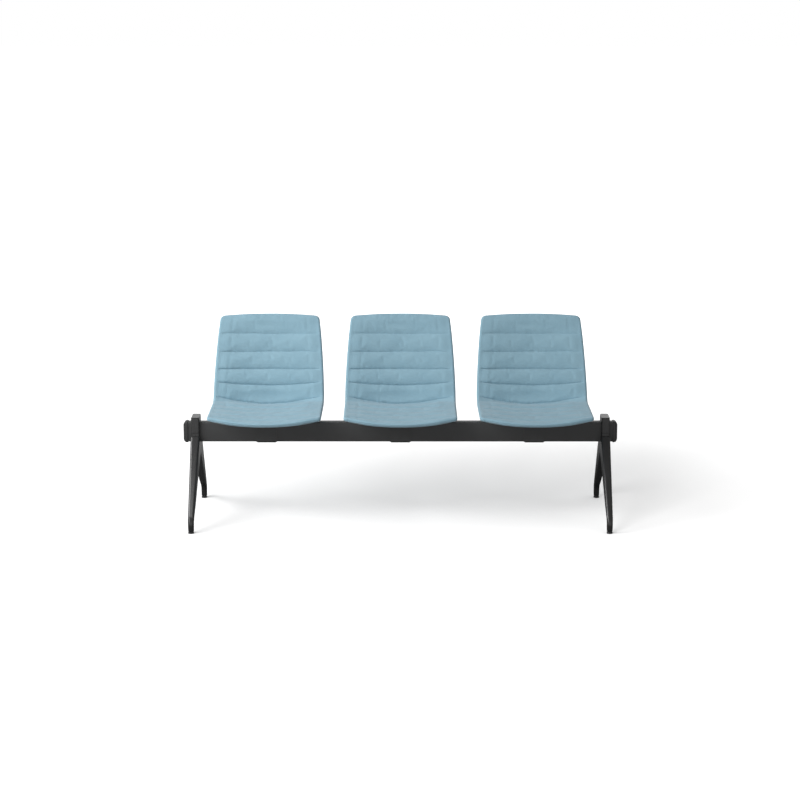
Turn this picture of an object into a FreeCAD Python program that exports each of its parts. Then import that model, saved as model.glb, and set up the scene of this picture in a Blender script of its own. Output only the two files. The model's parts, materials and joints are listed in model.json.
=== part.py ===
import FreeCAD, Part
import math
import os
from FreeCAD import Vector

# Beam seating: upholstered seat shells clamped in a row on one rectangular tube,
# with an A-frame leg at each end.
# Millimetres. X runs along the beam, -Y is the front that people sit down from, +Z is up.
# The origin is on the floor, under the middle of the overall box.

# Row of seats
seat_count = 3
seat_pitch = 540.0
leg_past_seat = 286.0       # middle of the end seat to the middle of the leg

# Beam tube
beam_height = 80.0
beam_depth = 40.0
beam_wall = 3.0
beam_corner = 4.0
beam_clear_height = 311.0   # floor to the underside of the beam
beam_past_leg = 31.0        # middle of the leg to the end of the tube

# End cap of the beam
cap_lip = 3.0               # how far the flange stands proud of the tube
cap_flange = 8.5
cap_dome = 10.5
cap_bulge = 2.0
cap_face_height = 58.0
cap_face_depth = 20.0
cap_flange_corner = 7.0
cap_plug_length = 26.0
cap_plug_wall = 2.5
cap_plug_gap = 0.5          # between the plug and the inside of the tube
cap_edge = 1.0

# A-frame leg
head_width = 33.0
head_wall = 20.5            # metal in front of and behind the beam
head_roof = 23.0            # metal above the beam
head_corner = 6.0
head_top_edge = 2.0
head_below_split = 30.0     # the clamping head carries on this far below its split line
limb_top_width = 38.0
limb_bottom_width = 22.5
limb_top_below_beam_top = 52.0
limb_round = 8.5
shoulder_proud = 5.0        # how far the limbs' rounded top stands out in front of and behind the head
shoulder_round = 12.0
foot_spread = 275.0         # beam middle to foot middle, front and rear
foot_depth = 23.0
ankle_height = 52.0
ankle_round = 70.0
crotch_drop = 52.0          # underside of the beam to the point where the inner edges meet
crotch_round = 15.0
heel_inset = 58.0           # where the inner edge starts to draw in towards the foot
heel_height = 87.0
heel_round = 40.0
instep_height = 49.0
instep_round = 24.0
split_gap = 1.2

# Screws that clamp the leg's two halves on the beam
clamp_screw = 8.0
clamp_screw_head = 13.0
clamp_screw_head_height = 8.0
clamp_screw_seat_drop = 21.0   # underside of the beam to the screw head's seat
clamp_screw_in_roof = 24.0     # thread length above the split line
hex_key = 6.0
hex_key_depth = 4.0

# Levelling feet
glide_diameter = 23.0
glide_height = 6.0
stem = 10.0
stem_up_leg = 34.0
stem_bore_length = 42.0
collar_across_flats = 17.0
collar_height = 3.6
button_diameter = 12.0
button_height = 2.5
neck_diameter = 7.5
glide_floor = 1.5

# Seat shell, seen from the side
pan_flat = 191.0
nose_length = 125.0
nose_radius = 9000.0
bend_radius = 60.0
back_lean = 25.5            # degrees from upright
back_length = 342.0
pan_behind_beam = 139.0     # beam middle back to where the pan's line meets the back's line

# Seat shell, across its width
width_front = 452.0
width_bend = 455.0
width_top = 409.0
side_bow = 0.64             # share of the back's taper that is curved
nose_bow = 34.0
nose_corner = 18.0
nose_dip = 17.0             # how far the middle of the front edge hangs below its corners
crown_bow = 11.0
crown_corner = 22.0
edge_half = 10.0            # half the thickness of the rolled side edge
edge_roll = 9.0
edge_taper = 14.0           # length over which the edge rounds off at the front and the top
lip_share = 0.5             # share of the edge's thickness that is left behind its seam at the tips
lip_length = 20.0
nose_blend = 130.0
crown_blend = 60.0
dish_nose = 4.0
dish_pan = 19.0
dish_bend = 34.0
dish_back = 16.0
dish_crown = 5.0

# Seat shell, layers and sewn channels
pad_pan = 20.0
pad_back = 17.0
shell_thickness = 6.0
cover_thickness = 6.0
layer_gap = 0.3
edge_lap = 8.0
shell_inset = 16.0
pocket_inset = 12.0
channel_pan = 73.0
pan_channels = 4
channel_back = 70.0
channel_growth = 2.0
back_channels = 4
puff_pan = 4.0
puff_back = 6.0
channel_shares = (0.22, 0.78, 1.0)                 # places along a channel where its section is drawn
nose_stations = (3.0, 9.0, 18.0, 24.0, 35.0)       # distances from the front tip
crown_stations = (22.0, 14.0, 9.0, 1.5)            # distances from the top tip
hidden_lines = 4                                   # straight lines for each curve between two layers

# Bracket between a seat and the beam
saddle_thickness = 6.0
saddle_width = 83.0
saddle_depth = 104.0
arm_boss = 26.0
arm_spread_x = 80.0
arm_spread_y = 86.0
arm_underside = 1.0         # above the top of the beam
seat_gap = 0.3
strap_thickness = 3.5
strap_bend = 3.0
strap_corner = 5.0
strap_reach = 51.0
strap_clamp_gap = 2.0
strap_bolt_x = 27.0
hex_bolt = 6.0              # the bolts of the straps and those up into the shells
hex_bolt_flats = 10.0
hex_bolt_head = 4.0
hex_bolt_in_saddle = 5.0

# Fits
slide_gap = 0.2             # between parts that slide over each other when fitted
thread_gap = 0.08
running_gap = 0.3

# Derived places
beam_top = beam_clear_height + beam_height
beam_middle = beam_clear_height + beam_height / 2
leg_x = (seat_count - 1) / 2 * seat_pitch + leg_past_seat
beam_end = leg_x + beam_past_leg
head_half_depth = beam_depth / 2 + slide_gap + head_wall
leg_bottom = glide_height + 2 * running_gap + collar_height
bend_angle = math.radians(90 - back_lean)
crease_at = nose_length + pan_flat + bend_radius * bend_angle / 2
bend_end = nose_length + pan_flat + bend_radius * bend_angle
crown_at = bend_end + back_length
pan_underside = edge_half - dish_pan - pad_pan - shell_thickness - cover_thickness - 2 * layer_gap
pan_height = beam_top + saddle_thickness + seat_gap - pan_underside
strap_bolt_y = (beam_depth / 2 + slide_gap + strap_thickness + strap_reach) / 2


def box(x0, x1, y0, y1, z0, z1):
    return Part.makeBox(x1 - x0, y1 - y0, z1 - z0, Vector(x0, y0, z0))


def post(x, y, z0, z1, diameter):
    return Part.makeCylinder(diameter / 2, z1 - z0, Vector(x, y, z0))


def polygon(points):
    return Part.makePolygon(points + points[:1])


def hexagon(x, y, z0, z1, across_flats):
    reach = across_flats / math.sqrt(3)
    turns = [math.radians(60 * k) for k in range(6)]
    corners = [Vector(x + reach * math.cos(turn), y + reach * math.sin(turn), z0) for turn in turns]
    return Part.Face(polygon(corners)).extrude(Vector(0, 0, z1 - z0))


def arc(a, b, c):
    return Part.Arc(a, b, c).toShape()


def line(a, b):
    return Part.LineSegment(a, b).toShape()


def bowed(start, middle, stop):
    """Points of a chain of straight lines along the arc through three points."""
    return arc(start, middle, stop).discretize(hidden_lines + 1)


def upright_edges(shape):
    straight = [e for e in shape.Edges if isinstance(e.Curve, Part.Line)]
    return [e for e in straight if abs(e.tangentAt(e.FirstParameter).z) > 1 - 1e-6]


def rounded_outline(corners, view):
    """Closed wire through (a, b, radius) corners; view turns a and b into a point in space."""
    edges = []
    ends = []
    count = len(corners)
    for k, (a, b, radius) in enumerate(corners):
        here = Vector(a, b, 0)
        before = Vector(*corners[k - 1][:2], 0) - here
        after = Vector(*corners[(k + 1) % count][:2], 0) - here
        before.normalize()
        after.normalize()
        if radius <= 0:
            ends.append((here, here))
            continue
        half_turn = math.acos(max(-1.0, min(1.0, before.dot(after)))) / 2
        setback = radius / math.tan(half_turn)
        toward = before + after
        toward.normalize()
        middle = here + toward * (radius / math.sin(half_turn) - radius)
        start = here + before * setback
        stop = here + after * setback
        edges.append((k, arc(view(start), view(middle), view(stop))))
        ends.append((start, stop))
    arcs = dict(edges)
    chain = []
    for k in range(count):
        if k in arcs:
            chain.append(arcs[k])
        start = ends[k][1]
        stop = ends[(k + 1) % count][0]
        if (stop - start).Length > 1e-6:
            chain.append(line(view(start), view(stop)))
    return Part.Wire(chain)


def side_view(point):
    return Vector(0, point.x, point.y)


def front_view(point):
    return Vector(point.x, 0, point.y)


def end_view(x):
    return lambda point: Vector(x, point.x, point.y)


def rounded_rectangle(depth, height, radius, x):
    """Upright rectangle across the beam's axis, centred on the beam."""
    a = depth / 2
    b = height / 2
    corners = [(-a, beam_middle - b, radius), (a, beam_middle - b, radius),
               (a, beam_middle + b, radius), (-a, beam_middle + b, radius)]
    return rounded_outline(corners, end_view(x))


def make_beam():
    outside = Part.Face(rounded_rectangle(beam_depth, beam_height, beam_corner, -beam_end))
    bore_depth = beam_depth - 2 * beam_wall
    bore_height = beam_height - 2 * beam_wall
    bore_corner = max(beam_corner - beam_wall, 0.5)
    bore = Part.Face(rounded_rectangle(bore_depth, bore_height, bore_corner, -beam_end))
    return outside.cut(bore).extrude(Vector(2 * beam_end, 0, 0))


def shoulder_cut(outer, inner, base, point):
    """Face that covers everything beyond one bulging shoulder of the cap's dome, seen across the beam."""
    run = Vector(cap_dome, inner - outer, 0)
    out = Vector(outer - inner, cap_dome, 0)
    out.normalize()
    middle = Vector(base, outer, 0) + run / 2 + out * cap_bulge
    low = point(base, outer)
    high = point(base + cap_dome, inner)
    beyond = [high, point(base + 2 * cap_dome, inner), point(base + 2 * cap_dome, outer + cap_dome),
              point(base, outer + cap_dome), low]
    return Part.Face(Part.Wire([arc(low, point(middle.x, middle.y), high)] + Part.makePolygon(beyond).Edges))


def make_end_cap():
    """Right-hand cap: a flange with a domed face outside the tube and a ribbed plug inside it."""
    depth = beam_depth + 2 * cap_lip
    height = beam_height + 2 * cap_lip
    start = beam_end + slide_gap
    flange = Part.Face(rounded_rectangle(depth, height, cap_flange_corner, start))
    flange = flange.extrude(Vector(cap_flange, 0, 0))
    rims = [e for e in flange.Edges if e.BoundBox.XMax < start + 1e-3]
    flange = flange.makeChamfer(cap_edge, rims)
    base = start + cap_flange
    wide = (depth / 2 - cap_edge, cap_face_depth / 2)
    tall = (height / 2 - cap_edge, cap_face_height / 2)
    dome = Part.Face(rounded_rectangle(2 * wide[0], 2 * tall[0], cap_flange_corner, base))
    dome = dome.extrude(Vector(cap_dome, 0, 0))
    for side in (-1, 1):
        level = shoulder_cut(*tall, base, lambda x, z: Vector(x, -depth, beam_middle + side * z))
        upright = shoulder_cut(*wide, base, lambda x, y: Vector(x, side * y, beam_middle - height))
        dome = dome.cut(level.extrude(Vector(0, 2 * depth, 0))).cut(upright.extrude(Vector(0, 0, 2 * height)))
    y = beam_depth / 2 - beam_wall - cap_plug_gap
    z = beam_height / 2 - beam_wall - cap_plug_gap
    inner_y = y - cap_plug_wall
    inner_z = z - cap_plug_wall
    tip = start - cap_plug_length
    plug = box(tip, start, -y, y, beam_middle - z, beam_middle + z)
    plug = plug.cut(box(tip, start, -inner_y, inner_y, beam_middle - inner_z, beam_middle + inner_z))
    rib = cap_plug_wall / 2
    ribs = [box(tip, start, -y + rib, y - rib, level - rib, level + rib)
            for level in (beam_middle - z / 2, beam_middle + z / 2)]
    return flange.multiFuse([dome, plug] + ribs).removeSplitter()


def make_limbs():
    """Both limbs of the A-frame as one rounded body, before the head is added."""
    limb_top = beam_top - limb_top_below_beam_top
    foot_out = foot_spread + foot_depth / 2
    foot_in = foot_spread - foot_depth / 2
    top_out = head_half_depth + shoulder_proud
    crotch_z = beam_clear_height - crotch_drop
    half = [(top_out, limb_top, shoulder_round), (foot_out, ankle_height, ankle_round), (foot_out, leg_bottom, 0),
            (foot_in, leg_bottom, 0), (foot_in, instep_height, instep_round),
            (foot_spread - foot_depth / 2 - heel_inset, heel_height, heel_round)]
    mirrored = [(-y, z, r) for y, z, r in reversed(half)]
    profile = Part.Face(rounded_outline(half + [(0, crotch_z, crotch_round)] + mirrored, side_view))
    reach = limb_top_width
    side = profile.extrude(Vector(2 * reach, 0, 0))
    side.translate(Vector(-reach, 0, 0))
    taper = [(-limb_top_width / 2, limb_top, 0), (limb_top_width / 2, limb_top, 0),
             (limb_bottom_width / 2, leg_bottom, 0), (-limb_bottom_width / 2, leg_bottom, 0)]
    front = Part.Face(rounded_outline(taper, front_view)).extrude(Vector(0, 4 * foot_spread, 0))
    front.translate(Vector(0, -2 * foot_spread, 0))
    body = side.common(front)
    long_edges = []
    for e in body.Edges:
        sole = e.BoundBox.ZMax < leg_bottom + 1e-3
        across = e.BoundBox.XLength > limb_bottom_width / 2
        if not sole and not across:
            long_edges.append(e)
    return body.makeFillet(limb_round, long_edges)


def beam_slot(z0, z1):
    half = beam_depth / 2 + slide_gap
    return box(-limb_top_width, limb_top_width, -half, half, z0, z1)


def clamp_screw_places():
    y = beam_depth / 2 + slide_gap + head_wall / 2
    return [(0, -y), (0, y)]


def make_leg_casting():
    head = box(-head_width / 2, head_width / 2, -head_half_depth, head_half_depth,
               beam_middle - head_below_split, beam_middle - split_gap / 2)
    head = head.makeFillet(head_corner, upright_edges(head))
    leg = make_limbs().fuse(head)
    leg = leg.cut(beam_slot(beam_clear_height - slide_gap, beam_top))
    seat_z = beam_clear_height - clamp_screw_seat_drop
    for x, y in clamp_screw_places():
        leg = leg.cut(post(x, y, seat_z - 1, beam_middle + 1, clamp_screw + 1))
        leg = leg.cut(post(x, y, 0, seat_z, clamp_screw_head + 1.5))
    for y in (-foot_spread, foot_spread):
        leg = leg.cut(post(0, y, leg_bottom - 1, leg_bottom + stem_bore_length, stem + 2 * thread_gap))
    return leg.removeSplitter()


def make_leg_clamp():
    roof = beam_top + slide_gap + head_roof
    clamp = box(-head_width / 2, head_width / 2, -head_half_depth, head_half_depth,
                beam_middle + split_gap / 2, roof)
    clamp = clamp.makeFillet(head_corner, upright_edges(clamp))
    rim = [e for e in clamp.Edges if e.BoundBox.ZMin > roof - 1e-3]
    clamp = clamp.makeChamfer(head_top_edge, rim)
    clamp = clamp.cut(beam_slot(beam_clear_height, beam_top + slide_gap))
    for x, y in clamp_screw_places():
        top = beam_middle + clamp_screw_in_roof + 3
        clamp = clamp.cut(post(x, y, beam_middle - 1, top, clamp_screw + 2 * thread_gap))
    return clamp


def make_clamp_screws():
    seat_z = beam_clear_height - clamp_screw_seat_drop - thread_gap
    screws = []
    for x, y in clamp_screw_places():
        under = seat_z - clamp_screw_head_height
        head = post(x, y, under, seat_z, clamp_screw_head)
        socket = hexagon(x, y, under, under + hex_key_depth, hex_key)
        shank = post(x, y, seat_z, beam_middle + clamp_screw_in_roof, clamp_screw)
        screws.append(head.cut(socket).fuse(shank).removeSplitter())
    return screws


def turned(profile):
    """Solid of revolution about Z through (radius, height) corners."""
    corners = [Vector(r, 0, z) for r, z in profile]
    return Part.Face(polygon(corners)).revolve(Vector(0, 0, 0), Vector(0, 0, 1), 360)


def make_glide():
    r = glide_diameter / 2
    pocket = button_diameter / 2 + running_gap
    pocket_top = glide_floor + button_height + 2 * running_gap
    hole = neck_diameter / 2 + running_gap
    return turned([(0, 0), (r, 0), (r, glide_height), (hole, glide_height),
                   (hole, pocket_top), (pocket, pocket_top), (pocket, glide_floor), (0, glide_floor)])


def make_stem():
    button_z = glide_floor + running_gap
    collar_z = glide_height + running_gap
    top = leg_bottom + stem_up_leg
    button = button_diameter / 2
    neck = neck_diameter / 2
    rod = turned([(0, button_z), (button, button_z), (button, button_z + button_height),
                  (neck, button_z + button_height), (neck, collar_z + 1),
                  (stem / 2, collar_z + 1), (stem / 2, top), (0, top)])
    collar = hexagon(0, 0, collar_z, collar_z + collar_height, collar_across_flats)
    return rod.fuse(collar).removeSplitter()


def edge_line(s):
    """Place, direction and inward normal, in the YZ plane, at length s along the shell's side edge."""
    flat_start_y = pan_behind_beam - bend_radius * math.tan(bend_angle / 2) - pan_flat
    if s < nose_length:
        turn = (nose_length - s) / nose_radius
        y = flat_start_y - nose_radius * math.sin(turn)
        z = pan_height - nose_radius * (1 - math.cos(turn))
        slope = turn
    elif s < nose_length + pan_flat:
        y = flat_start_y + s - nose_length
        z = pan_height
        slope = 0.0
    else:
        slope = min((s - nose_length - pan_flat) / bend_radius, bend_angle)
        y = flat_start_y + pan_flat + bend_radius * math.sin(slope)
        z = pan_height + bend_radius * (1 - math.cos(slope))
        beyond = max(s - bend_end, 0.0)
        y += beyond * math.cos(slope)
        z += beyond * math.sin(slope)
    return y, z, slope


def place(s, x, n):
    """Point n inward of the line of the side edges, s along it and x across; the front's middle hangs."""
    y, z, slope = edge_line(s)
    hang = (1 + math.cos(math.pi * min(s / nose_blend, 1.0))) / 2
    rise = n - nose_dip * hang * (1 - (2 * x / width_front) ** 2)
    return Vector(x, y - rise * math.sin(slope), z + rise * math.cos(slope))


def rounded_end(from_tip, half, bow, corner):
    """Half-width of an end that bows gently across its middle and turns in rounded corners."""
    straight = half - corner
    corner_start = bow * (straight / half) ** 2
    if from_tip < corner_start:
        return half * math.sqrt(from_tip / bow)
    from_side = corner - min(from_tip - corner_start, corner)
    return straight + math.sqrt(corner ** 2 - from_side ** 2)


def half_width(s):
    if s < crease_at:
        full = (width_front + (width_bend - width_front) * s / crease_at) / 2
        return rounded_end(s, full, nose_bow, nose_corner)
    up = max(s - bend_end, 0.0) / back_length
    full = (width_bend - (width_bend - width_top) * ((1 - side_bow) * up + side_bow * up ** 2)) / 2
    return rounded_end(crown_at - s, full, crown_bow, crown_corner)


def blend(value, length):
    return math.sin(math.pi / 2 * min(value / length, 1.0))


def between(s, knots):
    """Value at s of a line through (place, value) knots, eased at each knot."""
    for (s0, v0), (s1, v1) in zip(knots, knots[1:]):
        if s <= s1:
            share = (s - s0) / (s1 - s0)
            return v0 + (v1 - v0) * (1 - math.cos(math.pi * share)) / 2
    return knots[-1][1]


def seams():
    """Lengths along the edge line where the upholstery is sewn down, from the front tip to the crown."""
    pan = [crease_at - channel_pan * k for k in range(pan_channels, 0, -1)]
    back = []
    at = crease_at
    for k in range(back_channels):
        at += channel_back + channel_growth * k
        back.append(at)
    return [0.0] + pan + [crease_at] + back + [crown_at]


def depths(s):
    """Heights of the layers at s: the rolled edge's front and rear, then, at the middle, the sewn surface,
    the shell's front and the cover's back."""
    tip = min(s, crown_at - s)
    rounding = math.sqrt(1 - (1 - min(tip / edge_taper, 1.0)) ** 2)
    edge = edge_half * max(rounding, 0.35)
    behind = edge * (lip_share + (1 - lip_share) * min(tip / lip_length, 1.0))
    grown = blend(s, nose_blend) if s < crease_at else blend(crown_at - s, crown_blend)
    dish = between(s, [(0.0, dish_nose), (nose_blend, dish_pan), (nose_length + pan_flat, dish_pan),
                       (crease_at, dish_bend), (bend_end + bend_radius, dish_back),
                       (crown_at - crown_blend, dish_back), (crown_at, dish_crown)])
    pad = between(s, [(0.0, pad_pan), (nose_length + pan_flat, pad_pan),
                      (bend_end, pad_back), (crown_at, pad_back)])
    surface = edge - dish
    shell_full = edge_half - dish - pad
    back_full = shell_full - shell_thickness - cover_thickness - 2 * layer_gap
    shell = -0.5 + (shell_full + 0.5) * grown
    back = -0.9 * behind + (back_full + 0.9 * behind) * grown
    return edge, behind, surface, shell, back


def puff(s):
    """Height of a channel's crown at s above the seams on either side of it."""
    marks = seams()
    for low, high in zip(marks, marks[1:]):
        if s <= high:
            share = 2 * (s - low) / (high - low) - 1
            if low == 0.0 and share < 0 or high == crown_at and share > 0:
                share = 0.0
            tip = min(s, crown_at - s)
            height = puff_pan if s < crease_at else puff_back
            return height * math.sqrt(max(1 - share ** 2, 0.0)) * min(tip / channel_pan * 2, 1.0)
    return 0.0


def side_edge(s, side, inward, n):
    return place(s, side * (half_width(s) - min(inward, half_width(s) / 4)), n)


def stations(inset, channelled):
    """Lengths along the shell at which its section is drawn, between insets from the front and top tips."""
    marks = seams()
    places = [s for s in nose_stations if s >= inset] + [marks[1]]
    for low, high in zip(marks[1:-1], marks[2:-1]):
        bent = low < bend_end and high > nose_length + pan_flat
        shares = channel_shares if channelled or bent else channel_shares[-1:]
        places += [low + (high - low) * share for share in shares]
    if channelled:
        places.append(marks[-2] + 0.25 * (crown_at - marks[-2]))
    return places + [crown_at - e for e in crown_stations if e >= inset]


def bedded(chain, s):
    """Points of a chain at s, on the straight lines between the shell's stations on either side of s."""
    marks = stations(0.0, False)
    for low, high in zip(marks, marks[1:]):
        if s <= high:
            share = (s - low) / (high - low)
            return [a + (b - a) * share for a, b in zip(chain(low), chain(high))]
    return chain(marks[-1])


def rolled(s, side, height, stop):
    """Quarter turn of the side edge, from the seat's front or back to its side; straight near the tips."""
    start = side_edge(s, side, edge_roll, height)
    if min(s, crown_at - s) < edge_taper + edge_half:
        return line(start, stop)
    return arc(start, side_edge(s, side, (1 - math.sqrt(0.5)) * edge_roll, math.sqrt(0.5) * height), stop)


def pad_bed(s):
    """Underside of the pad, from the right-hand seam to the left-hand one."""
    seam = [side_edge(s, side, 0, 0) for side in (-1, 1)]
    bed = [side_edge(s, side, edge_lap, 0) for side in (-1, 1)]
    return [seam[1]] + bowed(bed[1], place(s, 0, depths(s)[3]), bed[0]) + [seam[0]]


def pad_ring(s):
    """Foam and fabric in front of the shell, wrapped round to the seam on the side edge."""
    edge, behind, surface, shell, back = depths(s)
    face = [side_edge(s, side, edge_roll, edge) for side in (-1, 1)]
    front = arc(face[0], place(s, 0, surface + puff(s)), face[1])
    under = bedded(pad_bed, s)
    return Part.Wire([front, rolled(s, 1, edge, under[0])] + Part.makePolygon(under).Edges
                     + [rolled(s, -1, edge, under[-1])])


def shell_ring(s):
    half = half_width(s) - edge_lap - layer_gap
    chain = []
    for height, side in ((-layer_gap, 1), (-layer_gap - shell_thickness, -1)):
        middle = place(s, 0, depths(s)[3] + height)
        chain += bowed(place(s, -side * half, height), middle, place(s, side * half, height))
    return polygon(chain)


def cover_ring(s):
    """Rear upholstery from side seam to side seam, with the pocket that the shell lies in."""
    edge, behind, surface, shell, back = depths(s)
    inside = min(s, crown_at - s) > pocket_inset
    top = -layer_gap
    low = top - (shell_thickness + layer_gap if inside else layer_gap)
    seam = [side_edge(s, side, 0, top) for side in (-1, 1)]
    bed = [side_edge(s, side, edge_lap, top) for side in (-1, 1)]
    foot = [side_edge(s, side, edge_lap, low) for side in (-1, 1)]
    rear = [side_edge(s, side, edge_roll, -behind) for side in (-1, 1)]
    pocket = [seam[1], bed[1]] + bowed(foot[1], place(s, 0, shell + low), foot[0]) + [bed[0], seam[0]]
    outside = arc(rear[0], place(s, 0, back), rear[1])
    return Part.Wire(Part.makePolygon(pocket).Edges
                     + [rolled(s, -1, -behind, seam[0]), outside, rolled(s, 1, -behind, seam[1])])


def layer(ring, inset, channelled=False):
    return Part.makeLoft([ring(s) for s in stations(inset, channelled)], True, True)


def seat_underside():
    """Space that the upholstered pan fills, lowered by the fitting gap, to shape the bracket's top."""
    rings = []
    for s in stations(0.0, False):
        if s < nose_stations[-1] or s > crease_at + 1:
            continue
        half = half_width(s) - edge_roll
        edge, behind, surface, shell, back = depths(s)
        high = 4 * edge_half
        low = [place(s, side * half, -behind) for side in (-1, 1)]
        above = [low[1], place(s, half, high), place(s, -half, high), low[0]]
        rings.append(Part.Wire([arc(low[0], place(s, 0, back), low[1])] + Part.makePolygon(above).Edges))
    space = Part.makeLoft(rings, True, True)
    space.translate(Vector(0, 0, -seat_gap))
    return space


def arm_ends():
    return [(sx * arm_spread_x, sy * arm_spread_y) for sx in (-1, 1) for sy in (-1, 1)]


def strap_bolt_places():
    return [(sx * strap_bolt_x, sy * strap_bolt_y) for sx in (-1, 1) for sy in (-1, 1)]


def make_bracket():
    """Cast saddle on top of the beam, with an arm out to each of the four shell bolts."""
    high = beam_top + 40
    saddle = box(-saddle_width / 2, saddle_width / 2, -saddle_depth / 2, saddle_depth / 2, beam_top, high)
    saddle = saddle.makeFillet(head_corner, upright_edges(saddle))
    pieces = []
    low = beam_top + arm_underside
    for x, y in arm_ends():
        root = Vector(x * 0.3, y * 0.3, low)
        tip = Vector(x, y, low)
        along = tip - root
        along.normalize()
        across = Vector(-along.y, along.x, 0)
        wide = arm_boss * 0.72
        narrow = arm_boss / 2
        corners = [root + across * wide, tip + across * narrow, tip - across * narrow, root - across * wide]
        pieces.append(Part.Face(polygon(corners)).extrude(Vector(0, 0, high - low)))
        pieces.append(post(x, y, low, high, arm_boss))
    bracket = saddle.multiFuse(pieces).removeSplitter()
    bracket = bracket.cut(seat_underside())
    bracket = max(bracket.Solids, key=lambda solid: solid.Volume)
    for x, y in arm_ends():
        bracket = bracket.cut(post(x, y, 0, high, hex_bolt + 2 * slide_gap))
    for x, y in strap_bolt_places():
        hole_end = beam_top + hex_bolt_in_saddle + running_gap
        bracket = bracket.cut(post(x, y, 0, hole_end, hex_bolt + 2 * thread_gap))
    return bracket


def make_strap():
    """Bent strip that hugs the beam from below and carries a flange at the front and the rear."""
    inner = beam_depth / 2 + slide_gap
    outer = inner + strap_thickness
    bottom = beam_clear_height - slide_gap
    top = beam_top - strap_clamp_gap
    bend = strap_bend
    round_over = strap_bend + strap_thickness
    corners = [(-strap_reach, top, 0), (-inner, top, round_over), (-inner, bottom, bend),
               (inner, bottom, bend), (inner, top, round_over), (strap_reach, top, 0),
               (strap_reach, top - strap_thickness, 0),
               (outer, top - strap_thickness, bend), (outer, bottom - strap_thickness, round_over),
               (-outer, bottom - strap_thickness, round_over), (-outer, top - strap_thickness, bend),
               (-strap_reach, top - strap_thickness, 0)]
    strap = Part.Face(rounded_outline(corners, side_view)).extrude(Vector(saddle_width, 0, 0))
    strap.translate(Vector(-saddle_width / 2, 0, 0))
    for side in (-1, 1):
        x = side * saddle_width / 2
        low = bottom - strap_thickness
        trim = [(x, low, 0), (x - side * strap_corner, low, 0), (x, low + strap_corner, 0)]
        wedge = Part.Face(rounded_outline(trim, front_view)).extrude(Vector(0, 4 * outer, 0))
        wedge.translate(Vector(0, -2 * outer, 0))
        strap = strap.cut(wedge)
    for x, y in strap_bolt_places():
        strap = strap.cut(post(x, y, bottom, beam_top, hex_bolt + 2 * slide_gap))
    return strap


def hex_head_bolt(x, y, under, top):
    head = hexagon(x, y, under - hex_bolt_head, under, hex_bolt_flats)
    return head.fuse(post(x, y, under, top, hex_bolt)).removeSplitter()


def make_strap_bolts():
    under = beam_top - strap_clamp_gap - strap_thickness - thread_gap
    return [hex_head_bolt(x, y, under, beam_top + hex_bolt_in_saddle) for x, y in strap_bolt_places()]


def shell_bolt_top(x, y):
    """Height at which a bolt ends inside the shell, just short of its front surface."""
    s = nose_length + y - edge_line(nose_length)[0]
    shell = depths(s)[3]
    lift = -shell * (x / (half_width(s) - edge_lap)) ** 2
    return place(s, 0, shell - layer_gap).z + lift - 1.0


def make_shell_bolts():
    under = beam_top + arm_underside - thread_gap
    return [hex_head_bolt(x, y, under, shell_bolt_top(x, y)) for x, y in arm_ends()]


def drilled(body):
    for x, y in arm_ends():
        hole_end = shell_bolt_top(x, y) + running_gap
        body = body.cut(post(x, y, beam_top, hole_end, hex_bolt + 2 * thread_gap))
    return body


def moved(shape, x=0.0, y=0.0):
    copy = shape.copy()
    copy.translate(Vector(x, y, 0))
    return copy


nodes = {}
nodes["beam"] = [make_beam()]
cap = make_end_cap()
nodes["end_cap_right"] = [cap]
nodes["end_cap_left"] = [cap.mirror(Vector(0, 0, 0), Vector(1, 0, 0))]

leg = make_leg_casting()
clamp = make_leg_clamp()
clamp_screws = make_clamp_screws()
glide = make_glide()
foot_stem = make_stem()
for side, x in (("left", -leg_x), ("right", leg_x)):
    nodes["leg_casting_" + side] = [moved(leg, x)]
    nodes["leg_clamp_" + side] = [moved(clamp, x)]
    nodes["leg_clamp_screws_" + side] = [moved(screw, x) for screw in clamp_screws]
    for end, y in (("front", -foot_spread), ("rear", foot_spread)):
        nodes["foot_glide_" + end + "_" + side] = [moved(glide, x, y)]
        nodes["foot_stem_" + end + "_" + side] = [moved(foot_stem, x, y)]

pad = layer(pad_ring, 0.0, True)
shell = drilled(layer(shell_ring, shell_inset))
cover = drilled(layer(cover_ring, 0.0))
bracket = make_bracket()
strap = make_strap()
strap_bolts = make_strap_bolts()
shell_bolts = make_shell_bolts()
for k in range(seat_count):
    x = (k - (seat_count - 1) / 2) * seat_pitch
    name = "seat_" + str(k + 1) + "_"
    nodes[name + "pad"] = [moved(pad, x)]
    nodes[name + "shell"] = [moved(shell, x)]
    nodes[name + "rear_cover"] = [moved(cover, x)]
    nodes[name + "bracket"] = [moved(bracket, x)]
    nodes[name + "strap"] = [moved(strap, x)]
    nodes[name + "strap_bolts"] = [moved(bolt, x) for bolt in strap_bolts]
    nodes[name + "shell_bolts"] = [moved(bolt, x) for bolt in shell_bolts]

front_y = -foot_spread - glide_diameter / 2
front_y = min(front_y, -foot_spread - foot_depth / 2)
rear_y = max(place(s, 0, depths(s)[3]).y for s in (crown_at - e for e in crown_stations))
rear_y = max(rear_y, -front_y)
middle_y = (front_y + rear_y) / 2

os.makedirs("parts", exist_ok=True)
for name, solids in nodes.items():
    shape = solids[0] if len(solids) == 1 else Part.makeCompound(solids)
    shape.translate(Vector(0, -middle_y, 0))
    shape.exportStep("parts/" + name + ".step")
    print(name, len(solids), "valid" if shape.isValid() else "NOT VALID", round(shape.Volume))
print("origin lies", round(middle_y, 3), "behind the beam's middle")
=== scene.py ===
import json
import math

import bpy
from mathutils import Matrix, Vector, noise


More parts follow.
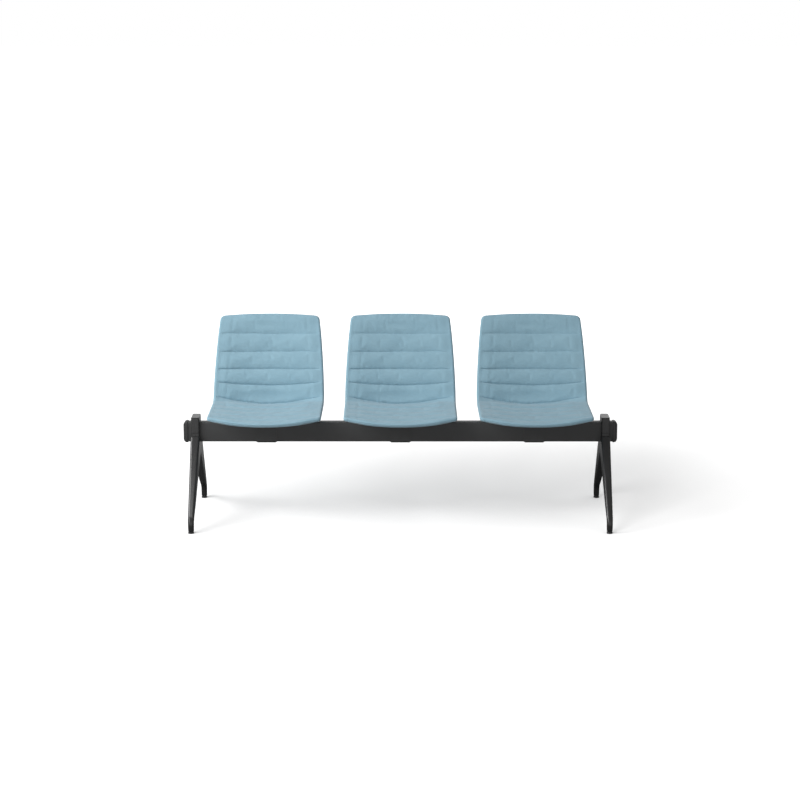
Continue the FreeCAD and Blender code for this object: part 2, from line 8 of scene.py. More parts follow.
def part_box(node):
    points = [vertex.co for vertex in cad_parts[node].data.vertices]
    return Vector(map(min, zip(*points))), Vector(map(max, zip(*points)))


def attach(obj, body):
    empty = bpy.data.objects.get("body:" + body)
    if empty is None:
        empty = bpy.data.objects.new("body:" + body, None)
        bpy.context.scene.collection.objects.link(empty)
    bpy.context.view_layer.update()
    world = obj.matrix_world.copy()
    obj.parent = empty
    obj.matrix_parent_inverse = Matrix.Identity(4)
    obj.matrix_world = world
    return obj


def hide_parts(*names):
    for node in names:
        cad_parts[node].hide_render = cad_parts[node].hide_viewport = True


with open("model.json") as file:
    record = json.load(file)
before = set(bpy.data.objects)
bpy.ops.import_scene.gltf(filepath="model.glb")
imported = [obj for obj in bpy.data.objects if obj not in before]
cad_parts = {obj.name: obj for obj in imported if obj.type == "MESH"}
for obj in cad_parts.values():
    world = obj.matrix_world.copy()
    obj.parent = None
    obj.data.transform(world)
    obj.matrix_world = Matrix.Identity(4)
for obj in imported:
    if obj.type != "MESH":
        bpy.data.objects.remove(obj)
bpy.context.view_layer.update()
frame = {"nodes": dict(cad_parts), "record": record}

# Places taken from the frame
beam_low, beam_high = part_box("beam")
beam_y = (beam_low.y + beam_high.y) / 2
beam_top = beam_high.z
seat_names = sorted(name[:-4] for name in frame["nodes"] if name.endswith("_pad"))

# Seat shell, seen from the side
pan_flat = 0.191
nose_length = 0.125
nose_radius = 9.0
bend_radius = 0.060
back_lean = 25.5
back_length = 0.342
pan_behind_beam = 0.139
shell_above_beam = 0.0479
pan_height = beam_top + shell_above_beam

# Seat shell, across its width
width_front = 0.452
width_bend = 0.455
width_top = 0.409
side_bow = 0.64
nose_bow = 0.034
nose_corner = 0.018
nose_dip = 0.017
crown_bow = 0.011
crown_corner = 0.022
edge_half = 0.010
edge_roll = 0.009
edge_lap = 0.008
lip_share = 0.5
lip_length = 0.020
nose_blend = 0.130
crown_blend = 0.060
dish_nose = 0.004
dish_pan = 0.019
dish_bend = 0.034
dish_back = 0.019
dish_crown = 0.005

# Layers of the seat
pad_pan = 0.020
pad_back = 0.017
shell_thickness = 0.0060
cover_thickness = 0.0060
layer_gap = 0.0003
pocket_lap = 0.002

# Sewn channels
channel_pan = 0.073
channel_back = 0.070
channel_growth = 0.002
puff_pan = 0.0032
puff_back = 0.0055
straight_end = 0.035        # the cloth isn't drawn sideways this near to the nose and the crown
seam_wander = 0.0022
seam_pull = 0.0018
seam_pull_left = 0.0020     # more on the left of each seat, where the seams are tighter
channel_lift = 0.0035       # the most that the filling lifts the cloth
edge_seam_depth = 0.0009
edge_seam_half = 0.0018

# Finishes
thread_pitch = 0.0011       # of the cloth
nap_height = 0.00028
stem_pitch = 0.0015
crease_angle = 32.0         # sharper edges of the rigid pieces stay sharp

# Grid over the seat
rim_steps = (0.0, 0.0008, 0.0022, 0.0042, 0.0068, 0.0100, 0.0140)
seam_steps = (0.0, 0.0010, 0.0026, 0.0050, 0.0082)
pad_mesh = 0.0066
cover_mesh = 0.011
end_parts = 24
corner_parts = 12

bend_angle = math.radians(90 - back_lean)
crease_at = nose_length + pan_flat + bend_radius * bend_angle / 2
bend_end = nose_length + pan_flat + bend_radius * bend_angle
crown_at = bend_end + back_length
seams = [crease_at - channel_pan * k for k in range(4, 0, -1)] + [crease_at]
for k in range(4):
    seams.append(seams[-1] + channel_back + channel_growth * k)

# Each seam as sewn: (place along the shell, shift at the middle, further shift at the sides)
sewn_paths = [(seams[0], 0.0, 0.0), (seams[3], 0.0, 0.002), (seams[4], 0.005, 0.014),
              (seams[5], 0.0016, 0.0105), (seams[6], -0.0022, -0.0044), (seams[7], -0.0021, -0.0046),
              (seams[8], -0.0019, -0.0048), (crown_at - straight_end, 0.0, 0.0)]


def smooth(value, low, high):
    """0 below low, 1 above high, with a soft rise between."""
    share = min(max((value - low) / (high - low), 0.0), 1.0)
    return share * share * (3 - 2 * share)


def edge_line(s):
    """Place and slope of the shell's side edge, in the YZ plane, at length s from the front tip."""
    flat_start = pan_behind_beam - bend_radius * math.tan(bend_angle / 2) - pan_flat
    if s < nose_length:
        turn = (nose_length - s) / nose_radius
        drop = nose_radius * (1 - math.cos(turn))
        return flat_start - nose_radius * math.sin(turn), pan_height - drop, turn
    if s < nose_length + pan_flat:
        return flat_start + s - nose_length, pan_height, 0.0
    slope = min((s - nose_length - pan_flat) / bend_radius, bend_angle)
    beyond = max(s - bend_end, 0.0)
    y = flat_start + pan_flat + bend_radius * math.sin(slope) + beyond * math.cos(slope)
    z = pan_height + bend_radius * (1 - math.cos(slope)) + beyond * math.sin(slope)
    return y, z, slope


def place(x, s, n):
    """Point n inward of the line of the side edges; the middle of the front edge hangs lower."""
    y, z, slope = edge_line(s)
    hang = (1 + math.cos(math.pi * min(s / nose_blend, 1.0))) / 2
    rise = n - nose_dip * hang * (1 - (2 * x / width_front) ** 2)
    return Vector((x, beam_y + y - rise * math.sin(slope), z + rise * math.cos(slope)))


def half_width(s):
    """Half the shell's width at length s; the back's sides curve in towards the top."""
    if s < crease_at:
        return (width_front + (width_bend - width_front) * s / crease_at) / 2
    up = max(s - bend_end, 0.0) / back_length
    return (width_bend - (width_bend - width_top) * ((1 - side_bow) * up + side_bow * up ** 2)) / 2


def from_tip(s):
    """Distance to the nearer end of the shell, and the bow and corner of that end."""
    if s < crease_at:
        return s, nose_bow, nose_corner
    return crown_at - s, crown_bow, crown_corner


def rim_distance(x, s):
    """How far inside the seat's outline a point lies."""
    tip, bow, corner = from_tip(s)
    half = half_width(s)
    straight = half - corner
    start = bow * (straight / half) ** 2
    if abs(x) > straight and tip < start + corner:
        return corner - math.hypot(abs(x) - straight, start + corner - tip)
    return min(half - abs(x), tip - bow * (x / half) ** 2)


def eased(s, knots):
    """Value at s on a line that runs smoothly through the knots."""
    for (s0, v0), (s1, v1) in zip(knots, knots[1:]):
        if s <= s1:
            return v0 + (v1 - v0) * (1 - math.cos(math.pi * (s - s0) / (s1 - s0))) / 2
    return knots[-1][1]


def sewn_place(x, q):
    """Where the point that a straight cloth would have at q lies along the shell, at x from the middle."""
    for (q0, mid0, side0), (q1, mid1, side1) in zip(sewn_paths, sewn_paths[1:]):
        if q <= q1:
            break
    share = smooth(q, q0, q1)
    middle = mid0 + (mid1 - mid0) * share
    side = side0 + (side1 - side0) * share
    fade = smooth(min(q, crown_at - q), straight_end, 0.080)
    wander = seam_wander * fade * noise.noise(Vector((x * 11, q * 23, 2.5)))
    return q + middle + side * (x / half_width(q)) ** 2 + wander


def sewn_from(x, s):
    """The straight cloth's place for a point at s; undoes sewn_place."""
    q = s
    for _ in range(6):
        q += s - sewn_place(x, q)
    return q


def dish(s):
    """How far the middle of the seat lies below its side edges."""
    return eased(s, [(0.0, dish_nose), (nose_blend, dish_pan), (nose_length + pan_flat, dish_pan),
                     (crease_at, dish_bend), (bend_end + bend_radius, dish_back),
                     (crown_at - crown_blend, dish_back), (crown_at, dish_crown)])


def padding(s):
    return eased(s, [(0.0, pad_pan), (nose_length + pan_flat, pad_pan), (bend_end, pad_back),
                     (crown_at, pad_back)])


def grown(s):
    """Share of its full thickness that the seat has at s; it thins out at the nose and the crown."""
    if s < crease_at:
        return math.sin(math.pi / 2 * min(s / nose_blend, 1.0))
    return math.sin(math.pi / 2 * min((crown_at - s) / crown_blend, 1.0))


def rolled(distance):
    """Share of its full height that the surface has at a distance from the outline, as in a rolled edge."""
    return math.sqrt(max(1 - (1 - min(max(distance, 0.0) / edge_roll, 1.0)) ** 2, 0.0))


def across(x, s, inset):
    """0 in the middle of the seat, 1 at inset from its side edge."""
    return min(abs(x) / (half_width(s) - inset), 1.0) ** 2


def puff(x, q):
    """Height of a channel's crown above the seams beside it, dying away towards the side edges."""
    marks = [0.0] + seams + [crown_at]
    for low, high in zip(marks, marks[1:]):
        if q <= high:
            share = 2 * (q - low) / (high - low) - 1
            if (low == 0.0 and share < 0) or (high == crown_at and share > 0):
                share = 0.0
            height = puff_pan if q < crease_at else puff_back
            tip = from_tip(q)[0]
            height *= min(tip / channel_pan * 2, 1.0) * smooth(half_width(q) - abs(x), 0.006, 0.050)
            return height * max(1 - share ** 2, 0.0) ** 0.45
    return 0.0


def front_height(x, s, distance):
    """Front face of the pad."""
    surface = edge_half - dish(s)
    inner = surface + (edge_half - surface) * across(x, s, edge_roll) + puff(x, sewn_from(x, s))
    return inner * rolled(distance)


def bed_height(x, s, distance):
    """Underside of the pad, where it lies on the shell."""
    if distance < edge_lap:
        return 0.0
    thin = -0.0005
    deep = thin + (edge_half - dish(s) - padding(s) - thin) * grown(s)
    return deep * (1 - across(x, s, edge_lap)) * smooth(distance, edge_lap, 0.03)


def back_height(x, s, distance):
    """Outer face of the rear upholstery."""
    tip, bow, corner = from_tip(s)
    end = max(tip - bow * (x / half_width(s)) ** 2, 0.0)
    behind = edge_half * (lip_share + (1 - lip_share) * min(end / lip_length, 1.0))
    full = edge_half - dish(s) - padding(s) - shell_thickness - cover_thickness - 2 * layer_gap
    flat = -0.9 * behind
    middle = flat + (full - flat) * grown(s)
    return (middle + (-behind - middle) * across(x, s, edge_roll)) * rolled(distance)


def pocket_height(x, s, distance):
    """Inner face of the rear upholstery, behind the shell."""
    if distance < edge_lap + pocket_lap:
        return -layer_gap
    return bed_height(x, s, distance) - shell_thickness - 2 * layer_gap


def steps_between(rim, length, size):
    """Distances from an edge: close together in the rolled rim, then even."""
    count = max(round((length - rim[-1]) / size), 1)
    return list(rim) + [rim[-1] + (length - rim[-1]) * k / count for k in range(1, count + 1)]


def walk(points, shares):
    """Points at the given shares of a polyline's length."""
    lengths = [0.0]
    for a, b in zip(points, points[1:]):
        lengths.append(lengths[-1] + (b - a).length)
    out = []
    k = 0
    for share in shares:
        goal = share * lengths[-1]
        while k < len(points) - 2 and lengths[k + 1] < goal:
            k += 1
        span = lengths[k + 1] - lengths[k]
        out.append(points[k].lerp(points[k + 1], (goal - lengths[k]) / span if span else 0.0))
    return out


def end_patch(columns, seam, size, rim):
    """Rows between the rounded end of the shell and its nearest seam, from the end inwards."""
    front = seam < crease_at
    sign = 1 if front else -1
    tip_s = 0.0 if front else crown_at
    half = half_width(tip_s + sign * 0.02)
    bow, corner = (nose_bow, nose_corner) if front else (crown_bow, crown_corner)
    straight = half - corner
    start = bow * (straight / half) ** 2

    def outline(angle):
        return Vector((straight + corner * math.sin(angle), start + corner * (1 - math.cos(angle))))

    turn = math.pi / 4
    steps_out = [straight * k / end_parts for k in range(end_parts + 1)]
    right = [Vector((x, bow * (x / half) ** 2)) for x in steps_out]
    right += [outline(turn * k / corner_parts) for k in range(1, corner_parts + 1)]
    whole = [Vector((-p.x, p.y)) for p in reversed(right[1:])] + right
    length = abs(seam - tip_s)
    side = [outline(turn + turn * k / corner_parts) for k in range(corner_parts + 1)]
    side.append(Vector((half_width(seam), length)))
    shares = [(c + 1) / 2 for c in columns]
    low = walk(whole, shares)
    high = [Vector((c * half_width(seam), length)) for c in columns]
    rise = steps_between(rim, length, size)
    ups = [r / length for r in rise]
    edge = walk(side, ups)
    rows = []
    for v, e in zip(ups[:-1], edge[:-1]):
        row = []
        for t, a, b in zip(shares, low, high):
            left_side = Vector((-e.x, e.y))
            sides = left_side.lerp(e, t)
            ends = a.lerp(b, v)
            corners = low[0].lerp(low[-1], t).lerp(high[0].lerp(high[-1], t), v)
            p = sides + ends - corners
            row.append((p.x, tip_s + sign * p.y))
        rows.append(row)
    return rows


def seat_grid(size, rim, beside):
    """Rows of (x, s) over the seat, from nose to crown; seams lie on rows, with finer rows beside."""
    half = width_front / 2
    rise = steps_between(rim, half, size)
    columns = [-1 + r / half for r in rise]
    columns = columns + [-c for c in reversed(columns[:-1])]
    rows = end_patch(columns, seams[0], size, rim)
    for low, high in zip(seams, seams[1:]):
        reach = (high - low) / 2
        rise = steps_between(beside, reach, size)
        places = [low + r for r in rise] + [high - r for r in reversed(rise[1:-1])]
        rows += [[(c * half_width(q), q) for c in columns] for q in places]
    top = end_patch(columns, seams[-1], size, rim)
    rows.append([(c * half_width(seams[-1]), seams[-1]) for c in columns])
    rows += list(reversed(top))
    shaped = []
    for row in rows:
        line = [(x, q, sewn_place(x, q)) for x, q in row]
        shaped.append([(x * half_width(s) / half_width(q), s) for x, q, s in line])
    return shaped


def closed_form(name, rows, outer, inner, outward):
    """Closed skin of two sheets over one grid, joined along the outline; its flat places become its UV map.

    The outer sheet's points come first.
    """
    mesh = bpy.data.meshes.new(name)
    count, width = len(rows), len(rows[0])
    points = []
    flat = []
    index = {}
    for sheet, height in enumerate((outer, inner)):
        for i, row in enumerate(rows):
            for j, (x, s) in enumerate(row):
                edge = i in (0, count - 1) or j in (0, width - 1)
                if edge and sheet:
                    index[sheet, i, j] = index[0, i, j]
                    continue
                distance = 0.0 if edge else rim_distance(x, s)
                index[sheet, i, j] = len(points)
                points.append(place(x, s, height(x, s, distance)))
                flat.append((x, s))
    faces = []
    for sheet in (0, 1):
        for i in range(count - 1):
            for j in range(width - 1):
                around = ((i, j), (i, j + 1), (i + 1, j + 1), (i + 1, j))
                face = [index[sheet, a, b] for a, b in around]
                faces.append(face if (sheet == 0) == outward else face[::-1])
    mesh.from_pydata(points, [], faces)
    layer = mesh.uv_layers.new(name="cloth")
    for loop in mesh.loops:
        layer.data[loop.index].uv = flat[loop.vertex_index]
    for polygon in mesh.polygons:
        polygon.use_smooth = True
    piece = bpy.data.objects.new(name, mesh)
    bpy.context.scene.collection.objects.link(piece)
    return piece, flat


def only(piece):
    """Selects one piece alone, for an operator."""
    bpy.ops.object.select_all(action="DESELECT")
    piece.select_set(True)
    bpy.context.view_layer.objects.active = piece


def fill_channels(pad, front_points, flat):
    """Cloth pressed out between the sewn rows, which stay where they are."""
    sewn = pad.vertex_groups.new(name="sewn")
    for k, (x, s) in enumerate(flat):
        weight = 1.0
        if k < front_points and rim_distance(x, s) > 0.004:
            near = min(abs(sewn_from(x, s) - seam) for seam in seams)
            inside = smooth(half_width(s) - abs(x), 0.004, 0.075)
            weight = 1.0 if near < 0.0005 and inside > 0.1 else 1 - inside
        if weight > 0.01:
            sewn.add([k], weight, "REPLACE")
    start = [v.co.copy() for v in pad.data.vertices]
    cloth = pad.modifiers.new("filled", "CLOTH")
    settings = cloth.settings
    settings.quality = 6
    settings.mass = 0.2
    settings.tension_stiffness = 12
    settings.compression_stiffness = 12
    settings.shear_stiffness = 4
    settings.bending_stiffness = 0.6
    settings.use_pressure = True
    settings.uniform_pressure_force = 3.0
    settings.shrink_min = -0.002
    settings.vertex_group_mass = "sewn"
    settings.effector_weights.gravity = 0.0
    cloth.collision_settings.use_collision = False
    for step in range(1, 21):
        bpy.context.scene.frame_set(step)
    shaped = pad.evaluated_get(bpy.context.evaluated_depsgraph_get())
    moved = [v.co.copy() for v in shaped.data.vertices]
    pad.modifiers.remove(cloth)
    bpy.context.scene.frame_set(1)
    for vertex, a, b in zip(pad.data.vertices, start, moved):
        step = b - a
        if step.length > channel_lift:
            step *= channel_lift / step.length
        vertex.co = a + step


def flat_places(mesh):
    """Each point's place on the flat cloth, from the UV map."""
    flat = [(0.0, 0.0)] * len(mesh.vertices)
    for loop, item in zip(mesh.loops, mesh.uv_layers["cloth"].data):
        flat[loop.vertex_index] = tuple(item.uv)
    return flat


def sew(pad):
    """Pulls the seams in and puckers the cloth along them."""
    mesh = pad.data
    mesh.update()
    normals = [v.normal.copy() for v in mesh.vertices]
    for vertex, (x, s), normal in zip(mesh.vertices, flat_places(mesh), normals):
        slope = edge_line(s)[2]
        up = Vector((0, -math.sin(slope), math.cos(slope)))
        if normal.dot(up) < 0.2:
            continue
        inside = smooth(half_width(s) - abs(x), 0.010, 0.028)
        q = sewn_from(x, s)
        gap = min((q - seam for seam in seams), key=abs)
        left = smooth(-x, -0.16, 0.18)
        on_pan = smooth(s, 0.05, 0.14) * (1 - smooth(s, crease_at - 0.02, crease_at + 0.01))
        upper = smooth(q, seams[6] + 0.02, seams[7] - 0.02)
        tight = (1 - 0.45 * on_pan) * (1 - 0.55 * upper)
        pull = -(seam_pull + seam_pull_left * left) * tight * math.exp(-abs(gap) / 0.0030) * inside
        ripple = noise.noise(Vector((x * 80, round(q / 0.07) * 3.7, 0.0)))
        fine = noise.noise(Vector((x * 210, q * 30, 4.0)))
        pucker = (0.0006 * ripple + 0.0003 * fine) * (0.4 + left) * math.exp(-abs(gap) / 0.012) * inside
        drag = noise.noise(Vector((x * 12, s * 70, 9.0)))
        slack = noise.noise(Vector((x * 13 + s * 8, s * 30 - x * 7, 7.0)))
        crumple = (0.0011 * drag * on_pan + 0.0010 * slack * (0.3 + left) * (1 - on_pan)) * inside
        vertex.co += up * (pull + crumple) + normal * pucker


def tuck_edge(piece):
    """Draws the side edge in along the seam that joins front and rear cloth."""
    mesh = piece.data
    for vertex, (x, s) in zip(mesh.vertices, flat_places(mesh)):
        if rim_distance(x, s) > 0.002:
            continue
        slope = edge_line(s)[2]
        up = Vector((0, -math.sin(slope), math.cos(slope)))
        along = Vector((0, math.cos(slope), math.sin(slope)))
        height = (vertex.co - place(x, s, 0)).dot(up)
        depth = edge_seam_depth * math.exp(-(height / edge_seam_half) ** 2)
        corner = from_tip(s)[2]
        inward_x = -math.copysign(smooth(abs(x), half_width(s) - corner, half_width(s)), x)
        inward_s = (1 if s < crease_at else -1) * (1 - abs(inward_x))
        vertex.co += depth * (Vector((inward_x, 0, 0)) + inward_s * along)


def subdivided(piece, levels):
    """Rounds a piece off by Subdivision Surface."""
    only(piece)
    modifier = piece.modifiers.new("finer", "SUBSURF")
    modifier.levels = levels
    modifier.render_levels = levels
    bpy.ops.object.modifier_apply(modifier=modifier.name)


# Shader maths
class Value:
    """One output of a node; arithmetic on it adds Math nodes."""

    def __init__(self, paint, socket):
        self.paint = paint
        self.socket = socket

    def math(self, operation, first, second=None):
        inputs = {0: first} if second is None else {0: first, 1: second}
        return self.paint.node("ShaderNodeMath", {"operation": operation}, inputs)

    def sine(self):
        return self.math("SINE", self)

    def __add__(self, other):
        return self.math("ADD", self, other)

    def __sub__(self, other):
        return self.math("SUBTRACT", self, other)

    def __rsub__(self, other):
        return self.math("SUBTRACT", other, self)

    def __mul__(self, other):
        return self.math("MULTIPLY", self, other)

    __radd__ = __add__
    __rmul__ = __mul__


class Paint:
    """The nodes of a material, or of the world."""

    def __init__(self, owner):
        owner.use_nodes = True
        self.owner = owner
        self.tree = owner.node_tree
        self.tree.nodes.clear()

    def node(self, kind, settings=None, inputs=None, output=0):
        """Adds a node: its settings first, then the values or links of its sockets."""
        made = self.tree.nodes.new(kind)
        for name, value in (settings or {}).items():
            if name == "stops":
                ramp = made.color_ramp
                ramp.elements[0].position, ramp.elements[0].color = value[0]
                ramp.elements[1].position, ramp.elements[1].color = value[-1]
                for position, color in value[1:-1]:
                    ramp.elements.new(position).color = color
            else:
                setattr(made, name, value)
        for name, value in (inputs or {}).items():
            if isinstance(value, Value):
                self.tree.links.new(value.socket, made.inputs[name])
            else:
                made.inputs[name].default_value = value
        return Value(self, made.outputs[output]) if made.outputs else None

    def noise(self, where, scale, detail=2.0, roughness=0.5):
        return self.node("ShaderNodeTexNoise", None,
                         {"Vector": where, "Scale": scale, "Detail": detail, "Roughness": roughness})

    def mix(self, share, first, second):
        return self.node("ShaderNodeMix", {"data_type": "RGBA"}, {0: share, 6: first, 7: second}, 2)

    def bump(self, height, distance, strength=1.0, normal=None):
        inputs = {"Height": height, "Distance": distance, "Strength": strength}
        if normal:
            inputs["Normal"] = normal
        return self.node("ShaderNodeBump", None, inputs)

    def ramp(self, value, low, high, start, end, soft=True):
        """Turns low into start and high into end, in a soft or a straight line."""
        style = {"interpolation_type": "SMOOTHSTEP" if soft else "LINEAR"}
        return self.node("ShaderNodeMapRange", style, {"Value": value, "From Min": low, "From Max": high,
                                                       "To Min": start, "To Max": end})

    def finish(self, **inputs):
        """Connects the shader; a socket's name is given with _ for each space."""
        sockets = {name.replace("_", " "): value for name, value in inputs.items()}
        shader = self.node("ShaderNodeBsdfPrincipled", None, sockets)
        self.node("ShaderNodeOutputMaterial", None, {"Surface": shader})
        return self.owner

    def place(self):
        return self.node("ShaderNodeTexCoord", None, None, "Object")

    def part(self, vector, axis):
        return self.node("ShaderNodeSeparateXYZ", None, {"Vector": vector}, axis)


def material_nodes(name):
    return Paint(bpy.data.materials.new(name))


def grey(shade, blue=0.0):
    """A neutral colour, with a touch more blue where it is given."""
    return shade, shade, shade + blue, 1


def woven_cloth(name, pale, deep):
    """Felted wool cloth: crossing threads, flecks of lighter and darker fibre, soft nap."""
    paint = material_nodes(name)
    unwrapped = paint.node("ShaderNodeUVMap", {"uv_map": "cloth"})
    turns = 2 * math.pi / thread_pitch
    wander = paint.noise(unwrapped, 180.0, 2.0) * 1.6
    warp = (paint.part(unwrapped, "X") * turns + wander).sine()
    weft = (paint.part(unwrapped, "Y") * turns + wander).sine()
    weave = warp * weft
    fleck = paint.noise(unwrapped, 900.0, 3.0, 0.7)
    cloud = paint.noise(unwrapped, 14.0, 3.0, 0.55)
    tone = fleck * 0.62 + cloud * 0.30 + weave * 0.06
    colour = paint.node("ShaderNodeValToRGB", {"stops": [(0.28, deep), (0.62, pale)]}, {"Fac": tone})
    fuzz = paint.noise(unwrapped, 2400.0, 2.0, 0.6)
    height = weave * 0.5 + fleck * 0.7 + fuzz * 0.4
    normal = paint.bump(height, nap_height, 0.55)
    return paint.finish(Base_Color=colour, Roughness=0.92, Normal=normal, Sheen_Weight=0.18,
                        Sheen_Roughness=0.55)


def powder_coat(name, colour, worn, roughness, peel):
    """Baked powder paint: fine orange peel and patches that are a little paler and duller."""
    paint = material_nodes(name)
    where = paint.place()
    dust = paint.noise(where, 9.0, 4.0, 0.6)
    grain = paint.noise(where, 1400.0, 2.0, 0.5)
    wave = paint.noise(where, 260.0, 2.0, 0.5)
    tint = paint.mix(dust, colour, worn)
    shine = dust * 0.14 + grain * 0.08 + (roughness - 0.11)
    normal = paint.bump(grain * 0.5 + wave, peel, 0.35)
    return paint.finish(Base_Color=tint, Roughness=shine, Normal=normal)


def moulded_plastic(name, colour, scuffed, roughness):
    """Injection-moulded plastic with a spark-eroded grain."""
    paint = material_nodes(name)
    where = paint.place()
    grain = paint.node("ShaderNodeTexVoronoi", None, {"Vector": where, "Scale": 1500.0})
    scuff = paint.noise(where, 40.0, 5.0, 0.65)
    tint = paint.mix(scuff, colour, scuffed)
    normal = paint.bump(grain, 0.00006, 0.5)
    return paint.finish(Base_Color=tint, Roughness=scuff * 0.12 + (roughness - 0.06), Normal=normal)


def plated_steel(name, thread):
    """Dark zinc plate with fine marks, and with a thread of the given pitch where there is one."""
    paint = material_nodes(name)
    where = paint.place()
    blotch = paint.noise(where, 120.0, 4.0, 0.6)
    marks = paint.noise(where, 1900.0, 1.0, 0.4)
    tint = paint.mix(blotch, grey(0.10, 0.01), grey(0.20, 0.01))
    normal = paint.bump(marks, 0.00004, 0.4)
    if thread:
        turns = paint.part(where, "Z") * (2 * math.pi / thread)
        normal = paint.bump(turns.sine(), 0.0005, 1.0, normal)
    return paint.finish(Base_Color=tint, Metallic=0.9, Roughness=blotch * 0.2 + 0.28, Normal=normal)


cloth = woven_cloth("light blue wool cloth", (0.262, 0.420, 0.503, 1), (0.184, 0.316, 0.392, 1))
tube_black = ((0.035, 0.0352, 0.0355, 1), (0.042, 0.0422, 0.0425, 1))
strap_black = ((0.036, 0.0362, 0.0365, 1), (0.042, 0.0422, 0.0425, 1))
paints = {
    "beam_coating": powder_coat("black coated tube", *tube_black, 0.42, 0.00005),
    "leg_coating": powder_coat("black coated casting", grey(0.019, 0.0003), grey(0.026, 0.0004),
                               0.24, 0.00002),
    "bracket_coating": powder_coat("black coated bracket", grey(0.005, 0.0003), grey(0.009, 0.0004),
                                   0.48, 0.00007),
    "strap_coating": powder_coat("black coated strap", *strap_black, 0.42, 0.00005),
    "cap_plastic": moulded_plastic("black cap plastic", grey(0.020, 0.0003), grey(0.027, 0.0005), 0.36),
    "glide_plastic": moulded_plastic("dark glide nylon", grey(0.030, 0.001), grey(0.050, 0.001), 0.55),
    "shell_plastic": moulded_plastic("grey shell plastic", grey(0.10), grey(0.13), 0.60),
    "screw_steel": plated_steel("dark zinc plate", 0.0),
}
threaded = plated_steel("dark zinc plate with thread", stem_pitch)

# Rigid pieces keep their solids and take their finish
slots = {part["node"]: part["material_slot"] for part in frame["record"]["subparts"]}
for name, node in frame["nodes"].items():
    if slots[name] not in paints:
        continue
    node.data.materials.clear()
    node.data.materials.append(threaded if name.startswith("foot_stem") else paints[slots[name]])
    for polygon in node.data.polygons:
        polygon.use_smooth = True
    weld = node.modifiers.new("joined", "WELD")
    weld.merge_threshold = 0.00001
    split = node.modifiers.new("crisp edges", "EDGE_SPLIT")
    split.split_angle = math.radians(crease_angle)

# Upholstery
pad_rows = seat_grid(pad_mesh, rim_steps, seam_steps)
pad_model, pad_flat = closed_form("sewn_pad", pad_rows, front_height, bed_height, True)
fill_channels(pad_model, len(pad_rows) * len(pad_rows[0]), pad_flat)
subdivided(pad_model, 1)
sew(pad_model)
tuck_edge(pad_model)
cover_rows = seat_grid(cover_mesh, rim_steps, (0.0,))
cover_model = closed_form("rear_cloth", cover_rows, back_height, pocket_height, False)[0]
subdivided(cover_model, 1)
tuck_edge(cover_model)

upholstery = ((pad_model, "pad", "seat_fabric", 0.8), (cover_model, "rear_cover", "cover_fabric", 0.6))
for seat in seat_names:
    low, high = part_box(seat + "_pad")
    middle = (low.x + high.x) / 2
    for model, part, slot, fill in upholstery:
        mesh = model.data.copy()
        mesh.transform(Matrix.Translation((middle, 0, 0)))
        mesh.materials.clear()
        mesh.materials.append(cloth)
        piece = bpy.data.objects.new(seat + "_" + part + "_cloth", mesh)
        bpy.context.scene.collection.objects.link(piece)
        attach(piece, "bench")
        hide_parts(seat + "_" + part)
for model in (pad_model, cover_model):
    bpy.data.objects.remove(model)

# Floor: matt near the bench, with shadows from the lamps and a painted shadow from ambient occlusion; white
# further away
floor_size = 60
floor_back = 20             # how far its middle lies behind the bench
bpy.ops.object.select_all(action="DESELECT")
bpy.ops.mesh.primitive_plane_add(size=floor_size, location=(0, floor_back, 0))
floor = bpy.context.object
floor.name = "studio_floor"
paint = material_nodes("white studio floor")
where = paint.place()
bench_foot = (0, -floor_back, 0)
far = paint.node("ShaderNodeVectorMath", {"operation": "DISTANCE"}, {0: where, 1: bench_foot}, "Value")
seen = paint.node("ShaderNodeLightPath", None, None, "Is Camera Ray")
mirrored = paint.node("ShaderNodeLightPath", None, None, "Is Glossy Ray")
bounced = 0.60              # the floor's shade as it lights the bench
# Painted reflection: glossy rays see the floor dark near the bench and brighter further off and far in
# front
around = paint.ramp(far, 0.9, 1.4, 0.10, 0.30)
ahead = paint.ramp(paint.part(where, "Y") * -1, floor_back + 0.8, floor_back + 1.3, 0.0, 0.70)
shade = seen * (1 - bounced) + mirrored * (around + ahead - bounced) + bounced
matt = paint.node("ShaderNodeBsdfDiffuse", None, {"Color": shade, "Roughness": 1.0})
# Painted shadow: the floor's glow is darker where the bench hides the sky, from ambient occlusion
painted_floor_shadow = paint.node("ShaderNodeAmbientOcclusion", {"samples": 16}, {"Distance": 1.4}, "AO")
glow = paint.node("ShaderNodeEmission", None, {"Color": painted_floor_shadow, "Strength": 1.5})
white = seen * paint.ramp(far, 1.3, 3.8, 0.34, 1.0)
surface = paint.node("ShaderNodeMixShader", None, {0: white, 1: matt, 2: glow})
paint.node("ShaderNodeOutputMaterial", None, {"Surface": surface})
floor.data.materials.append(paint.owner)

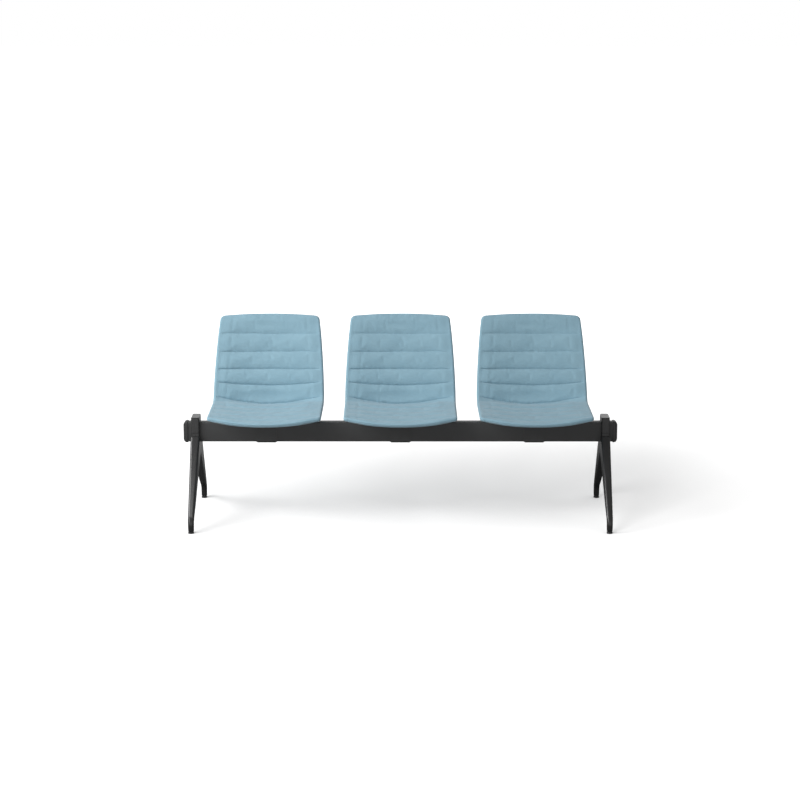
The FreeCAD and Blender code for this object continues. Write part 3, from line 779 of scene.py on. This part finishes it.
# World: white behind, dimmer from above, and for gloss a bright horizon on all sides but the right
overhead = 0.27
level = 0.40
world = bpy.data.worlds.new("studio")
bpy.context.scene.world = world
sky = Paint(world)
towards = sky.node("ShaderNodeTexCoord", None, None, "Generated")
flank = sky.ramp(sky.part(towards, "X"), 0.15, 0.50, 1.0, level, False)
horizon = sky.ramp(sky.node("ShaderNodeLightPath", None, None, "Is Glossy Ray"), 0, 1, level, flank, False)
ceiling = sky.ramp(sky.part(towards, "Z"), 0.15, 0.55, horizon, overhead)
strength = sky.ramp(sky.node("ShaderNodeLightPath", None, None, "Is Camera Ray"), 0, 1, ceiling, 1.0, False)
backdrop = sky.node("ShaderNodeBackground", None, {"Color": (1, 1, 1, 1), "Strength": strength})
sky.node("ShaderNodeOutputWorld", None, {"Surface": backdrop})


# Lamps
def aimed(name, kind, where, aim, energy):
    """A lamp at one point, turned towards another."""
    lamp = bpy.data.objects.new(name, bpy.data.lights.new(name, kind))
    bpy.context.scene.collection.objects.link(lamp)
    lamp.location = where
    lamp.rotation_euler = (Vector(aim) - Vector(where)).to_track_quat("-Z", "Y").to_euler()
    lamp.data.energy = energy
    return lamp.data


def softbox(name, where, aim, width, height, watts):
    lamp = aimed(name, "AREA", where, aim, watts)
    lamp.shape = "RECTANGLE"
    lamp.size = width
    lamp.size_y = height


aimed("broad key", "SUN", (-3.8, -5.4, 3.2), (0, 0, 0), 0.95).angle = math.radians(26)
softbox("side softbox", (-3.3, -0.9, 2.6), (0, 0, 0.4), 2.2, 2.2, 122)
softbox("overhead strip", (-1.2, -2.0, 3.0), (-0.4, 0, 0.3), 2.6, 0.7, 21)

# Camera, as fitted to the photograph
camera_tilt = math.radians(12.15)
camera_distance = 8.064
camera_aim = Vector((-0.0016, beam_y, 0.479))
lens = bpy.data.cameras.new("camera")
lens.lens = 90
lens.sensor_width = 36
camera = bpy.data.objects.new("camera", lens)
bpy.context.scene.collection.objects.link(camera)
back_from_aim = Vector((0, -math.cos(camera_tilt), math.sin(camera_tilt)))
camera.location = camera_aim + camera_distance * back_from_aim
camera.rotation_euler = (math.pi / 2 - camera_tilt, 0, 0)
bpy.context.scene.camera = camera
bpy.context.scene.view_settings.view_transform = "Standard"
